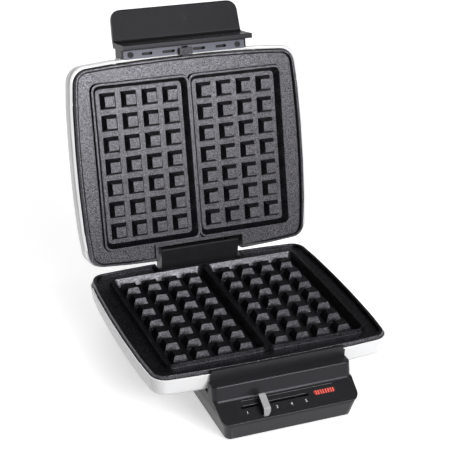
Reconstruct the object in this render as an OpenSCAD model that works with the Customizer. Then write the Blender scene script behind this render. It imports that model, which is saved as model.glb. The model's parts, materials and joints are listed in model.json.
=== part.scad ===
// Table-top waffle maker with two removable double plates, shown with its lid open.
// X runs to the right, Y to the back and Z up. The feet stand on Z = 0.

/* [Waffle plates] */
// Distance between the middles of two waffle pegs
peg_pitch = 23; // [21:0.5:24]
// Pegs across one well
peg_cols = 4; // [3:1:4]
// Pegs along one well
peg_rows = 7; // [5:1:7]
// Width of a peg where it stands on the well's floor
peg_base = 17; // [14:0.5:18]
// Width of a peg at its flat top
peg_top = 10.6; // [8:0.2:13]
// Depth of a well below the mating plane
well_depth = 8.3; // [6:0.1:9.5]
// Floor left between the outer pegs and the well's wall
floor_margin = 4.4; // [2:0.1:6]
// How far a well's wall leans outwards from floor to rim
well_draft = 4.2; // [2:0.1:5]
// Corner radius of a well at its floor
well_r = 4.6; // [2:0.2:6]
// Width of the web between the two wells
well_gap = 3.8; // [3:0.1:8]
// Width of the raised ridge around the wells
ridge_w = 2; // [1.5:0.1:3]
// Flat field beside the wells, out to the plate's edge
side_margin = 22.9; // [18:0.1:28]
// Flat field in front of and behind the wells, out to the plate's edge
end_margin = 21.9; // [18:0.1:24]
// Corner radius of a plate
plate_r = 14.5; // [10:0.5:18]
// How far each side of a plate bows outwards
side_bow = 4.3; // [2:0.1:6]
// Width of the lip around a plate
lip_w = 3.2; // [2.5:0.1:5]
// How far the plate's sides lean in from the flange to the lip
side_lean = 1.6; // [0.4:0.1:2.4]
// The same at the plate's ends
end_lean = 0.8; // [0.2:0.1:1.2]
// Height of the lip above the field
lip_h = 3.4; // [2.5:0.1:4.2]
// How far the lip stays below the mating plane
lip_drop = 0.6; // [0.6:0.1:1]
// Thickness of the field
field_t = 2.5; // [2:0.1:3]
// Thickness of the metal under a well
pan_t = 3; // [2.5:0.1:3.4]
// Width of the hinge notch in a plate's back edge
notch_w = 97; // [94:1:104]
// Thickness left between the wells and the hinge notch
notch_land = 5.2; // [4.5:0.1:5.4]

/* [Casings] */
// Wall of the white casings
shell_t = 1.2; // [1:0.1:1.6]
// Gap between a plate's edge and the casing around it
plate_gap = 0.8; // [0.5:0.1:1.5]
// Depth of the lower casing below the mating plane
shell_depth = 24; // [23.6:0.1:27]
// Depth of the lid's casing below its mating plane
lid_depth = 26; // [25.6:0.1:29]
// How far the lid's casing stands out beyond its plate, all round but the back
lid_over = 4; // [2.4:0.1:5]
// How far the casings' rims reach up beside the plates' flanges
rim_over = 2; // [0:0.1:2.3]
// How far the casing's sides lean inwards towards its outer face
shell_draft = 1.8; // [0.5:0.1:3]
// Rounding between a casing's sides and its outer face
shell_round = 5; // [3:0.5:6]
// Gap left between the mating planes when the lid is shut
mate_gap = 0.4; // [0.3:0.1:1]
// Height of the dark base housing
housing_h = 33; // [31:0.5:42]
// Wall of the dark mouldings
wall = 2.4; // [2:0.1:2.8]
// Half width of the housing along its bottom edge
housing_foot_hw = 66.3; // [64:0.1:70]
// Half width of the housing at its shoulder
housing_hw = 73; // [71:0.5:80]
// Height of the rubber feet
foot_h = 2; // [1.5:0.1:4]
// Radius of a rubber foot
foot_r = 7; // [5:0.5:9]

/* [Front housing] */
// How far the front wall stands in front of the plate's edge
front_wall = 3.2; // [3:0.1:6]
// Depth of the shoulder in front of the wall
shoulder_d = 10.8; // [9:0.2:12]
// How far the shoulder's face leans forwards
shoulder_rake = 4; // [2:0.5:6]
// Drop from the mating plane to the shoulder
shoulder_drop = 11.5; // [9:0.5:14]
// Drop from the mating plane to the panel's top edge
panel_drop = 26; // [25:0.5:28]
// Depth of the control panel, measured level
panel_run = 23; // [22.5:0.5:26]
// Slope of the control panel
panel_tilt = 27.5; // [24:0.5:29]
// Height of the nose under the panel's front edge
nose_h = 2.5; // [1:0.5:4]
// How far the front face leans back towards the floor
toe_in = 4; // [2:0.5:6]
// Corner radius of the housing's front corners
front_r = 8; // [5:0.5:9]
// Radius of the shoulder's front corners
shoulder_r = 5; // [3:0.5:7]
// Radius of the hollow fillet between the panel and the shoulder
fillet_r = 4; // [2:0.5:5]

/* [Controls] */
// Distance between two marks of the temperature scale
scale_step = 15.4; // [13:0.2:15.6]
// Marks on the temperature scale
scale_marks = 5; // [3:1:5]
// Place of the first mark, left of the middle
scale_start = 44; // [40:0.5:46]
// Place of the knob at rest, counted in steps from the first mark
knob_rest = 1.1; // [0:0.1:2]
// Distance of the slot down the panel
slot_s = 10.4; // [9.5:0.1:11]
// Width of the slot
slot_w = 2.2; // [2:0.1:2.6]
// Width of the slider knob
knob_w = 7; // [6:0.5:9]
// Height of the slider knob above the panel
knob_h = 9; // [6:0.5:10]
// Length of the slider knob down the panel
knob_l = 21; // [18:0.5:22]
// Length of the indicator lens
lens_l = 22; // [16:1:24]
// Width of the indicator lens
lens_w = 4.6; // [4:0.1:5]
// Left end of the indicator lens
lens_x = 28; // [28:0.5:34]
// Gear module of the rack and the thermostat's pinion
gear_m = 1.35; // [1.2:0.05:1.4]
// Teeth of the thermostat's pinion
gear_teeth = 18; // [16:1:18]

/* [Hinge] */
// Height of the hinge axis above the mating plane
axis_up = 10.9; // [10.5:0.1:12]
// Distance of the hinge axis in front of the plate's back edge
axis_in = 5.2; // [4.5:0.1:5.5]
// Angle through which the lid opens
open_deg = 106.5; // [95:0.5:108]
// Radius of the hinge pin
pin_r = 2.5; // [2:0.1:2.8]
// Half width of the hinge housing
hinge_hw = 44.4; // [43:0.2:46]
// Radius of the rounded top of the hinge housing
hinge_r = 9.2; // [8.5:0.1:9.4]
// Distance from the hinge axis to the housing's flat front
hinge_front = 6.3; // [6:0.1:6.5]
// Place of each hinge ear, out from the middle
ear_x = 30; // [26:1:36]
// Thickness of a hinge ear
ear_t = 3; // [2:0.5:4]

/* [Handle] */
// Half width of the grip at its root
grip_hw = 72; // [70:0.5:76]
// How far the handle's apron hangs below the lid's mating plane
apron_drop = 9.3; // [4:0.1:10]
// Thickness of the apron
apron_t = 5; // [3:0.2:6]
// Half width of the handle's neck, and of the wall it meets
neck_hw = 70; // [68:0.5:70]
// Reach of the grip in front of its root
grip_reach = 32.8; // [26:0.2:38]
// Rise of the grip over its reach
grip_rise = 5.3; // [2:0.1:8]
// Thickness of the grip
grip_t = 4; // [3:0.2:5]
// Corner radius of the grip
grip_r = 11; // [8:0.5:14]

/* [Heating] */
// Radius of the heating tube
tube_r = 3.25; // [3:0.05:3.4]
// Bend radius of the heating tube
bend_r = 20; // [16:1:22]
// Thickness of the reflector sheet
sheet_t = 0.8; // [0.6:0.1:1]

/* [Hidden] */
$fn = 48;
fit = 0.3;      // gap between neighbouring pieces
bore_gap = 0.05; // running gap around a pin
tiny = 0.01;
white = [0.93, 0.93, 0.94];
coal = [0.17, 0.17, 0.18];
iron = [0.24, 0.24, 0.26];
steel = [0.74, 0.75, 0.77];

// Plate, from the pegs outwards
floor_hw = (peg_cols - 1) / 2 * peg_pitch + peg_base / 2 + floor_margin;
floor_hd = (peg_rows - 1) / 2 * peg_pitch + peg_base / 2 + floor_margin;
well_hw = floor_hw + well_draft;
well_hd = floor_hd + well_draft;
well_x = well_gap / 2 + well_hw;
plate_hw = well_gap / 2 + 2 * well_hw + side_margin;
plate_hd = well_hd + end_margin;
field_z = -lip_drop - lip_h;
flange_z = field_z - field_t;
pan_z = -well_depth - pan_t;
notch_y = well_hd + notch_land;

// Casing
shell_hw = plate_hw + plate_gap + shell_t;
shell_hd = plate_hd + plate_gap + shell_t;
base_over = plate_gap + shell_t;
lid_draft = 0.6;
rim_z = flange_z + rim_over;
shell_floor = -shell_depth + shell_t;
lid_floor = -lid_depth + shell_t;
tube_rise = sheet_t + 2.4 + tube_r;

// Levels, from the table up
housing_top = foot_h + housing_h;
mate_z = housing_top + shell_depth;
lid_z = mate_z + mate_gap;

// Front housing
wall_y = plate_hd + front_wall;
shoulder_y = wall_y + shoulder_d;
panel_y = shoulder_y + shoulder_rake;
nose_y = panel_y + panel_run;
shoulder_z = mate_z - shoulder_drop;
panel_z = mate_z - panel_drop;
panel_len = panel_run / cos(panel_tilt);
nose_z = panel_z - panel_run * tan(panel_tilt);

// Hinge, and the shift that puts the open object's middle on the Y origin
hinge_y = plate_hd - axis_in;
hinge_z = mate_z + axis_up;
back_y = hinge_y + hinge_r;
grip_z0 = 22;
apron_y = shell_hd + 10.2;
grip_y = apron_y + apron_t + 2;
tip_dy = -(grip_y + grip_reach) - hinge_y;
tip_dz = grip_z0 + grip_rise + grip_t + mate_gap - axis_up;
open_tip_y = hinge_y + tip_dy * cos(open_deg) + tip_dz * sin(open_deg);
mid_y = (open_tip_y - nose_y) / 2;

// Controls, measured from the middle of the panel's top edge: x, s down the slope, h up from it
scale_end = scale_step * (scale_marks - 1) - scale_start;
knob_x = -scale_start + knob_rest * scale_step;
stem_hw = 3.4;
gear_r = gear_m * gear_teeth / 2;
gear_s = 6.5;
rack_s = gear_s + gear_r;
rack_top = -wall - 2.8;
rack_low = -11.2;
rack_spare = 3;

backlash = 0.25;
gear_low = -11.2;
gear_t = 4;
spindle_r = 2.5;
stat_h = 8;
knob_s0 = 3;

// Scale recess, measured down the panel
inlay_t = 0.5;
scale_hw = 54;
scale_s0 = 2;
scale_s1 = 20.5;

// Housing: bay for the heating tube's ends, bosses, screws and feet
bay_y = shell_hd + fit;
cover_t = 2;
boss_r = 3.4;
screw_r = 1.5;
cover_screws = [for (x = [-48, 48], y = [-104, 84]) [x, y]];
casing_screws = [for (x = [-57, 57], y = [-97, 97]) [x, y]];
feet = [for (x = [-50, 50], y = [-132, 98]) [x, y]];
inlet_r = 3.6;
inlet_x = -40;
inlet_z = 16;

// Inside the casings
post_r = 3.5;
post_x = plate_hw - 12;
peg_x = 12;
peg_r = 2;
reflector_hw = post_x - post_r - 3;
reflector_hd = plate_hd - 20;
element_hw = reflector_hw - 19;
element_hd = reflector_hd - 30;
base_end_x = 30;
base_end_y = plate_hd - 2;
lid_end_x = 56;
lid_end_y = reflector_hd + 8;

// Lid: strip, latch and hinge bracket, measured up from the lid's mating plane
strip_c = 4.5;
strip_t = 0.8;
strip_y = shell_hd + 4;
strip_hw = neck_hw - 2.2;
strip_hd = 4.4;
strip_screw_x = 60;
strip_slots = [[-48, -36], [-25, -11], [9, 23], [35, 47]];
latch_hw = 7.3;
latch_y = strip_y - 1.8;
latch_travel = 3.5;
tongue_reach = 2;
stem_w = 6;
tongue_c = 2.5;
tongue_hw = 4;
tongue_t = 1.3;
ear_r = 4.3;
bracket_c = -lid_floor - 1.5;
bracket_y = plate_hd - lid_draft - shell_round - 0.4;
bracket_d = 13.3;
bracket_holes = [for (x = [-18, 18], y = [3.3, 9.8]) [x, bracket_y - y]];

// ---- shapes shared by several pieces ----

function unit(v) = v / norm(v);

// Points of one corner of a path, rounded to radius r
function corner(a, b, c, r, n) = r <= 0 ? [b] :
    let (u = unit(a - b), v = unit(c - b), th = acos(u * v), f = 180 - th,
        m = b + unit(u + v) * r / sin(th / 2),
        s = (b + u * r / tan(th / 2) - m) / r, e = (b + v * r / tan(th / 2) - m) / r)
    [for (i = [0:n]) m + r * (s * sin((1 - i / n) * f) + e * sin(i / n * f)) / sin(f)];

// A closed path whose points are [x, y, corner radius]
function rounded(p, n = 4) = [for (i = [0:len(p) - 1])
    let (a = p[(i + len(p) - 1) % len(p)], b = p[i], c = p[(i + 1) % len(p)])
    each corner([a[0], a[1]], [b[0], b[1]], [c[0], c[1]], b[2], n)];

function rect(hw, hd, r, n = 4) =
    rounded([[-hw, -hd, r], [hw, -hd, r], [hw, hd, r], [-hw, hd, r]], n);

// Quarter of the bowed outline, from the right-hand side to the back
function bow_x(hw, hd, y) = hw - side_bow * pow(y / hd, 2);
function bow_quarter(hw, hd, r) =
    let (cy = hd - side_bow - r, cx = hw - side_bow - r,
        side = [for (i = [0:3]) let (y = cy * i / 4) [bow_x(hw, hd, y), y]],
        turn = [for (i = [0:6]) let (a = 3 + 84 * i / 6) [cx + r * cos(a) + 0.6, cy + r * sin(a) + 0.6]],
        back = [for (i = [1:3]) let (x = cx * (1 - i / 4)) [x, bow_x(hd, hw, x)]])
    concat(side, turn, back);

// Rounded rectangle with bowed sides, anticlockwise
function bowed(hw, hd, r) =
    let (q = bow_quarter(hw, hd, r), n = len(q))
    concat(q, [[0, hd]], [for (i = [n - 1:-1:1]) [-q[i][0], q[i][1]]],
        [for (p = q) [-p[0], -p[1]]], [[0, -hd]], [for (i = [n - 1:-1:1]) [q[i][0], -q[i][1]]]);

function at_z(path, z) = [for (p = path) [p[0], p[1], z]];

// Solid through a stack of rings with equal numbers of points
module loft(rings) {
    n = len(rings[0]);
    last = len(rings) - 1;
    polyhedron(points = [for (r = rings) each r], convexity = 6, faces = concat(
        [[for (i = [0:n - 1]) i]],
        [for (k = [0:last - 1], i = [0:n - 1])
            [k * n + i, (k + 1) * n + i, (k + 1) * n + (i + 1) % n, k * n + (i + 1) % n]],
        [[for (i = [n - 1:-1:0]) last * n + i]]));
}

// Profile in Y and Z, drawn out along X
module along_x(half) {
    rotate([90, 0, 90]) linear_extrude(2 * half, center = true) children();
}

module mirror_x() {
    children();
    mirror([1, 0, 0]) children();
}

module block(x0, x1, y0, y1, z0, z1) {
    translate([x0, y0, z0]) cube([x1 - x0, y1 - y0, z1 - z0]);
}

// Pan-head screw: the head's seat is at the origin and the shank runs down
module screw(r, length, head_r, head_h) {
    difference() {
        union() {
            cylinder(r = head_r, h = head_h);
            translate([0, 0, -length]) cylinder(r = r, h = length + tiny);
        }
        for (a = [0, 90]) rotate([0, 0, a])
            block(-head_r * 0.6, head_r * 0.6, -0.4, 0.4, head_h * 0.5, head_h + 1);
    }
}

// ---- places ----

module on_base() { translate([0, -mid_y, 0]) children(); }
module on_mate() { on_base() translate([0, 0, mate_z]) children(); }

// Lid pieces are drawn shut, from their own mating plane up, and swung open
module on_lid() {
    on_base() translate([0, hinge_y, hinge_z]) rotate([-open_deg, 0, 0])
        translate([0, -hinge_y, lid_z - hinge_z]) children();
}
module upside_down() { rotate([0, 180, 0]) children(); }

// Panel frame: X along the panel, Y up its slope, Z out of it
module on_panel() {
    on_base() translate([0, -panel_y, panel_z]) rotate([panel_tilt, 0, 0]) children();
}

// ---- waffle plate, mating plane at Z = 0, metal below ----

module peg() {
    sink = 0.6;
    lean = (peg_base - peg_top) / 2 / well_depth;
    rotate([0, 0, 45]) translate([0, 0, -well_depth - sink])
        cylinder(r1 = (peg_base / 2 + lean * sink) * sqrt(2), r2 = peg_top / 2 * sqrt(2),
            h = well_depth + sink, $fn = 4);
}

module well_tub() {
    loft([at_z(rect(floor_hw + pan_t, floor_hd + pan_t, well_r + pan_t), pan_z),
        at_z(rect(well_hw + ridge_w + 0.8, well_hd + ridge_w + 0.8, well_r + pan_t), field_z - 0.5),
        at_z(rect(well_hw + ridge_w, well_hd + ridge_w, well_r + pan_t), 0)]);
}

module well_hollow() {
    over = 1;
    lean = well_draft / well_depth;
    loft([at_z(rect(floor_hw, floor_hd, well_r), -well_depth),
        at_z(rect(well_hw + lean * over, well_hd + lean * over, well_r + 1.6), over)]);
}

// Outline of the plate, drawn in by dx at the sides and dy at the ends
function plate_ring(dx, dy, z) = at_z(bowed(plate_hw - dx, plate_hd - dy, plate_r - dy), z);

module waffle_plate(latch_slot = 0) {
    difference() {
        union() {
            loft([plate_ring(0, 0, flange_z), plate_ring(0.3, 0.2, rim_z), plate_ring(side_lean, end_lean, -lip_drop)]);
            mirror_x() translate([well_x, 0, 0]) well_tub();
        }
        difference() {
            translate([0, 0, field_z]) linear_extrude(lip_h + 2)
                polygon(bowed(plate_hw - side_lean - lip_w, plate_hd - end_lean - lip_w, plate_r - lip_w));
            block(-notch_w / 2 - lip_w, notch_w / 2 + lip_w, notch_y - lip_w, plate_hd + 1,
                field_z - 1, 0);
            mirror_x() translate([well_x, 0, 0]) well_tub();
        }
        block(-notch_w / 2, notch_w / 2, notch_y, plate_hd + 5, pan_z, 5);
        if (latch_slot > 0) block(-latch_slot, latch_slot, -plate_hd - 5,
            -plate_hd + tongue_reach + fit, -tongue_c - tongue_t - fit, -tongue_c + fit);
        mirror_x() translate([well_x, 0, 0]) well_hollow();
    }
    mirror_x() translate([well_x, 0, 0])
        for (i = [0:peg_cols - 1], j = [0:peg_rows - 1])
            translate([(i - (peg_cols - 1) / 2) * peg_pitch, (j - (peg_rows - 1) / 2) * peg_pitch, 0])
                peg();
}

// ---- casing around a plate, rim up, mating plane at Z = 0 ----

// over: how far it stands out beyond the plate; its rear wall stays under the plate's edge
module tray(depth, over, draft, brow) {
    hw = plate_hw + over;
    hd = plate_hd + over;
    function ring(inset, z) = [for (p = bowed(hw - inset, hd - inset, plate_r + over - inset / 2))
        [p[0], p[1] > 0 ? p[1] * plate_hd / hd : p[1], z]];
    function bottom(t) = [for (i = [0:3]) let (a = 90 * i / 3)
        ring(draft + t + (shell_round - t) * (1 - sin(a)),
            -depth + t + (shell_round - t) * (1 - cos(a)))];
    land = over - plate_gap;
    difference() {
        loft(concat(bottom(0),
            [for (a = [0, 45, 90]) ring(brow * (1 - cos(a)), rim_z - brow * (1 - sin(a)))],
            [ring(land, rim_z), ring(land, rim_z - rim_over - 0.2), ring(shell_t, rim_z - rim_over - land)],
            [for (i = [3:-1:0]) bottom(shell_t)[i]]));
        // The rim is lower where it passes under the plate
        block(-hw, hw, plate_hd - plate_r - side_bow - 5, hd, flange_z, 5);
    }
}

// Bosses inside a tray that carry the plate's edge, and nubs that centre it
module tray_seats(depth, post_y) {
    for (sx = [-1, 1], y = post_y) translate([sx * post_x, y, -depth + shell_t - tiny])
        cylinder(r = post_r, h = flange_z + depth - shell_t + tiny);
    for (x = [-peg_x, peg_x]) translate([x, 0, -depth + shell_t - tiny])
        cylinder(r = peg_r, h = sheet_t + 1);
    nub_y = 70;
    nub_x = 78;
    inner = plate_gap - 0.1;
    edge_x = bow_x(plate_hw + plate_gap, plate_hd + plate_gap, nub_y);
    edge_y = bow_x(plate_hd + plate_gap, plate_hw + plate_gap, nub_x);
    mirror_x() {
        for (y = [-nub_y, nub_y])
            block(edge_x - inner, edge_x + 0.5, y - 1.5, y + 1.5, flange_z - 1, rim_z - 0.2);
        block(nub_x - 1.5, nub_x + 1.5, -edge_y - 0.5, -edge_y + inner, flange_z - 1, rim_z - 0.2);
    }
}

// Shallow sheet pan under the heating tube; its floor's top face is at Z = 0
module reflector(hw, hd, end_x) {
    h = 6;
    r = 12;
    difference() {
        loft([at_z(rect(hw - 3, hd - 3, r), -sheet_t), at_z(rect(hw, hd, r), h),
            at_z(rect(hw - sheet_t, hd - sheet_t, r), h),
            at_z(rect(hw - 3 - sheet_t, hd - 3 - sheet_t, r), 0)]);
        for (x = [-peg_x, peg_x]) translate([x, 0, -5]) cylinder(r = peg_r + 0.2, h = 10);
        mirror_x() block(end_x - tube_r - 1, end_x + tube_r + 1, hd - 10, hd + 10, 1.5, h + 10);
    }
}

// Heating tube: a closed loop with rounded corners, opened on its back side, whose two
// ends run out backwards at end_x; the tube's middle is at Z = 0
module element(hx, hy, end_x, end_y) {
    pin_l = 8;
    module bend() {
        rotate_extrude(angle = 90) translate([bend_r, 0]) circle(r = tube_r, $fn = 24);
    }
    module run(length, r = tube_r) { rotate([90, 0, 0]) cylinder(r = r, h = length, $fn = 24); }
    turn = 12;
    module turn_bend() {
        rotate_extrude(angle = 90) translate([turn, 0]) circle(r = tube_r, $fn = 24);
    }
    mirror_x() {
        translate([hx - bend_r, -hy + bend_r, 0]) rotate([0, 0, -90]) bend();
        translate([hx - bend_r, hy - bend_r, 0]) bend();
        translate([hx, hy - bend_r, 0]) run(2 * (hy - bend_r));
        translate([0, -hy, 0]) rotate([0, 0, 90]) mirror([0, 1, 0]) run(hx - bend_r);
        translate([hx - bend_r, hy, 0]) rotate([0, 0, -90]) run(hx - bend_r - end_x - turn);
        translate([end_x + turn, hy + turn, 0]) rotate([0, 0, 180]) turn_bend();
        translate([end_x, end_y, 0]) run(end_y - hy - turn);
        translate([end_x, end_y + pin_l, 0]) run(pin_l + 1, 1.6);
    }
}

// Saddles between the reflector and the heating tube, standing on Z = 0
module saddles(hx, rise) {
    for (sx = [-1, 1], y = [-25, 25]) translate([sx * hx, y, 0]) difference() {
        union() {
            block(-6, 6, -4, 4, 0, 1);
            block(-5, 5, -2.5, 2.5, 0, rise);
        }
        translate([0, 10, rise]) rotate([90, 0, 0]) cylinder(r = tube_r + 0.1, h = 20, $fn = 24);
    }
}

// ---- base ----

// Outer form of the dark housing, or its hollow when inset by a wall
module housing_form(inset) {
    low = inset > 0 ? foot_h - 1 : foot_h;
    crest = inset > 0 ? inset * tan(panel_tilt) - inset / cos(panel_tilt) : 0;
    nose = [-nose_y + inset, nose_z + crest];
    step = [-panel_y + inset, panel_z + crest];
    brow = [-shoulder_y + inset, shoulder_z - inset];
    // Outline seen from above: half width, front and front corner radius
    function plan(hw, y, r, z) = at_z(rounded([[-hw + inset, y, r], [hw - inset, y, r],
        [hw - inset, back_y - inset, 3], [-hw + inset, back_y - inset, 3]], 6), z);
    // Body with the sloping control panel
    intersection() {
        along_x(housing_hw + 5) polygon(rounded([[-nose_y + toe_in + inset, low, 1],
            [-nose_y + inset, nose_z - nose_h, 1.2], [nose[0], nose[1], 1.2], [step[0], step[1], 0],
            [-bay_y - inset, step[1], 0], [-bay_y - inset, housing_top - inset, 0],
            [back_y - inset, housing_top - inset, 1], [back_y - inset, low, 1]]));
        loft([plan(housing_foot_hw, -nose_y + toe_in + inset, front_r - 1, low),
            plan(housing_hw - 3, -nose_y + inset, front_r, nose_z - nose_h),
            plan(housing_hw - 1.2, -nose_y + inset, front_r, nose_z),
            plan(housing_hw, -nose_y + inset, front_r, panel_z),
            plan(housing_hw, -nose_y + inset, front_r, mate_z)]);
    }
    // Shoulder above the panel, with a hollow fillet at its foot and a rounded brow
    difference() {
        loft(concat(
            [plan(housing_hw, step[0] - 6, shoulder_r, step[1] - 6)],
            [for (p = corner(nose, step, brow, fillet_r, 4)) plan(housing_hw, p[0], shoulder_r, p[1])],
            [plan(housing_hw, brow[0] - 0.4, shoulder_r, brow[1] - 1.5),
                plan(housing_hw - 0.3, brow[0] + 0.3, shoulder_r, brow[1] - 0.5),
                plan(housing_hw - 1.2, brow[0] + 1.2, shoulder_r, brow[1])]));
        block(-housing_hw - 5, housing_hw + 5, -bay_y - inset, back_y + 5, 0, mate_z);
    }
}

module screw_boss(x, y, z0, z1) {
    translate([x, y, z0]) cylinder(r = boss_r, h = z1 - z0);
}

module base_housing() {
    color(coal) on_base() difference() {
        union() {
            difference() {
                union() {
                    housing_form(0);
                    // Wall in front of the plate, standing in the shell's cut-out
                    along_x(neck_hw) polygon(rounded([[-wall_y, shoulder_z - 2, 0],
                        [-wall_y, mate_z, 1], [-(plate_hd + fit), mate_z, 0.6],
                        [-(plate_hd + fit), housing_top - 1, 0], [-bay_y - 1, housing_top - 1, 0]], 2));
                    mirror_x() block(neck_hw - 1, neck_hw + 1.5, -wall_y, -bay_y, shoulder_z - 3, mate_z - 4);
                }
                housing_form(wall);
            }
            for (p = cover_screws) screw_boss(p[0], p[1], foot_h + cover_t, housing_top - 1);
            for (p = casing_screws) screw_boss(p[0], p[1], housing_top - 9, housing_top - 1);
            // Ribs under the deck
            for (y = [-60, 0, 60]) block(-60, 60, y - 1, y + 1, housing_top - 7, housing_top - 1);
        }
        for (p = cover_screws) translate([p[0], p[1], 0]) cylinder(r = screw_r + 0.05, h = 14);
        for (p = casing_screws) translate([p[0], p[1], housing_top - 8]) cylinder(r = screw_r + 0.05, h = 20);
        // Holes for the heating tube's ends
        mirror_x() translate([base_end_x, -bay_y + 5, mate_z + shell_floor + tube_rise]) rotate([90, 0, 0])
            cylinder(r = 2.4, h = 10);
        // Control slot, scale recess and lens window
        on_panel_local() {
            block(-scale_start - stem_hw - 1, scale_end + stem_hw + 1, -slot_s - slot_w / 2,
                -slot_s + slot_w / 2, -wall - 1, 2);
            block(-scale_hw - 0.1, scale_hw + 0.1, -scale_s1 - 0.1, -scale_s0 + 0.1, -inlay_t, 2);
            block(lens_x - 0.1, lens_x + lens_l + 0.1, -slot_s - lens_w / 2 - 0.1,
                -slot_s + lens_w / 2 + 0.1, -wall - 1, 2);
        }
        // Cord inlet
        translate([inlet_x, back_y + 1, inlet_z]) rotate([90, 0, 0])
            cylinder(r = inlet_r + 2.4, h = wall + 2);
    }
}

module on_panel_local() {
    translate([0, -panel_y, panel_z]) rotate([panel_tilt, 0, 0]) children();
}

module base_bottom_cover() {
    hw = housing_foot_hw - wall - fit;
    y0 = -(nose_y - toe_in - wall - fit);
    y1 = back_y - wall - fit;
    color(coal) on_base() difference() {
        translate([0, (y0 + y1) / 2, foot_h]) linear_extrude(cover_t)
            polygon(rect(hw, (y1 - y0) / 2, 6));
        // Air slots
        for (i = [-5:5], y = [-62, 40]) translate([i * 9, y, 0]) linear_extrude(20)
            polygon(rect(1.5, 14, 1.4));
        for (p = cover_screws) translate([p[0], p[1], 0]) cylinder(r = screw_r + 0.4, h = 20);
        for (p = feet) translate([p[0], p[1], 0]) cylinder(r = foot_r / 3 + 0.05, h = 20);
    }
}

module rubber_feet() {
    color([0.1, 0.1, 0.1]) on_base() for (p = feet) translate([p[0], p[1], 0]) {
        rotate_extrude() polygon([[0, 0], [foot_r - 0.6, 0], [foot_r, 0.6], [foot_r, foot_h], [0, foot_h]]);
        translate([0, 0, foot_h - tiny]) cylinder(r = foot_r / 3, h = cover_t + tiny);
        translate([0, 0, foot_h + cover_t]) cylinder(r = foot_r / 3 + 0.8, h = 0.8);
    }
}

module bottom_screws() {
    color(steel) on_base() for (p = cover_screws) translate([p[0], p[1], foot_h])
        rotate([180, 0, 0]) screw(screw_r, 8, 2.8, 1.2);
}

module base_shell() {
    color(white) on_mate() difference() {
        union() {
            tray(shell_depth, base_over, shell_draft, 0.6);
            tray_seats(shell_depth, [-80, 0, 80]);
        }
        // Cut-outs for the housing's front wall and for the hinge housing
        block(-neck_hw - fit, neck_hw + fit, -shell_hd - 5, -plate_hd + 1.5, -shell_depth - 1, 5);
        block(-hinge_hw - fit, hinge_hw + fit, hinge_y - hinge_front - fit, shell_hd + 5,
            -shell_depth - 1, 5);
        for (p = casing_screws) translate([p[0], p[1], -shell_depth - 1])
            cylinder(r = screw_r + 0.3, h = 5);
    }
}

module shell_screws() {
    color(steel) on_mate() for (p = casing_screws) translate([p[0], p[1], shell_floor])
        screw(screw_r, shell_t + 7, 3, 1.4);
}

module base_plate() { color(iron) on_mate() waffle_plate(); }

module base_reflector() {
    color(steel) on_mate() translate([0, 0, shell_floor + sheet_t]) rotate([0, 0, 180])
        reflector(reflector_hw, reflector_hd, base_end_x);
}

module base_element() {
    color([0.35, 0.34, 0.33]) on_mate() translate([0, 0, shell_floor + tube_rise]) rotate([0, 0, 180])
        element(element_hw, element_hd, base_end_x, base_end_y);
}

module base_element_saddles() {
    color(steel) on_mate() translate([0, 0, shell_floor + sheet_t])
        saddles(element_hw, tube_rise - sheet_t);
}

// Section of the hinge housing, or its hollow when inset by a wall
module tower_section(inset) {
    r = hinge_r - inset;
    front = -hinge_front + inset;
    polygon(concat([[front, inset > 0 ? -hinge_z : housing_top - hinge_z],
        [front, r - 1.5], [front + 0.45, r - 0.45], [front + 1.5, r]],
        [for (a = [90:-10:0]) [r * cos(a), r * sin(a)]],
        [[r, inset > 0 ? -hinge_z : housing_top - hinge_z]]));
}

module hinge_housing() {
    color(coal) on_base() translate([0, hinge_y, hinge_z]) difference() {
        along_x(hinge_hw) tower_section(0);
        along_x(ear_x - 8) tower_section(wall);
        mirror_x() translate([ear_x + 8 + (hinge_hw - wall - ear_x - 8) / 2, 0, 0])
            along_x((hinge_hw - wall - ear_x - 8) / 2) tower_section(wall);
        // Slots in which the lid's ears swing
        mirror_x() translate([ear_x, 0, 0]) along_x(ear_t / 2 + 0.6) union() {
            circle(r = ear_r + 0.8);
            translate([-ear_r - 0.6, 0]) square([hinge_r + ear_r + 6, hinge_r + 5]);
            translate([0, -ear_r - 5]) square([hinge_r + 5, ear_r + 10]);
        }
        rotate([0, 90, 0]) translate([0, 0, -hinge_hw + 1.2])
            cylinder(r = pin_r + bore_gap, h = 2 * hinge_hw - 2.4);
    }
}

module hinge_pin() {
    color(steel) on_base() translate([-hinge_hw + 1.4, hinge_y, hinge_z]) rotate([0, 90, 0])
        cylinder(r = pin_r, h = 2 * hinge_hw - 2.8);
}

// ---- controls ----

module scale_plate() {
    color([0.14, 0.14, 0.15]) on_panel() difference() {
        block(-scale_hw, scale_hw, -scale_s1, -scale_s0, -inlay_t, 0);
        block(-scale_start - stem_hw - 1, scale_end + stem_hw + 1, -slot_s - slot_w / 2,
            -slot_s + slot_w / 2, -5, 5);
        block(lens_x - 0.1, lens_x + lens_l + 0.1, -slot_s - lens_w / 2 - 0.1,
            -slot_s + lens_w / 2 + 0.1, -5, 5);
    }
}

module indicator_lens() {
    color([0.85, 0.2, 0.15]) on_panel() translate([lens_x + lens_l / 2, -slot_s, 0]) {
        translate([0, 0, -wall]) linear_extrude(wall + 0.5) polygon(rect(lens_l / 2, lens_w / 2, 1));
        translate([0, 0, -wall - 1]) linear_extrude(1) polygon(rect(lens_l / 2 + 1, lens_w / 2 + 1, 1));
    }
}

module lamp_holder() {
    deep = 7;
    color([0.9, 0.9, 0.88]) on_panel() translate([lens_x + lens_l / 2, -slot_s, -wall - 1 - deep])
        difference() {
            linear_extrude(deep) polygon(rect(lens_l / 2 + 1, lens_w / 2 + 1.6, 1));
            translate([0, 0, 1.4]) linear_extrude(deep) polygon(rect(lens_l / 2 - 0.4, lens_w / 2, 1));
        }
}

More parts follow.
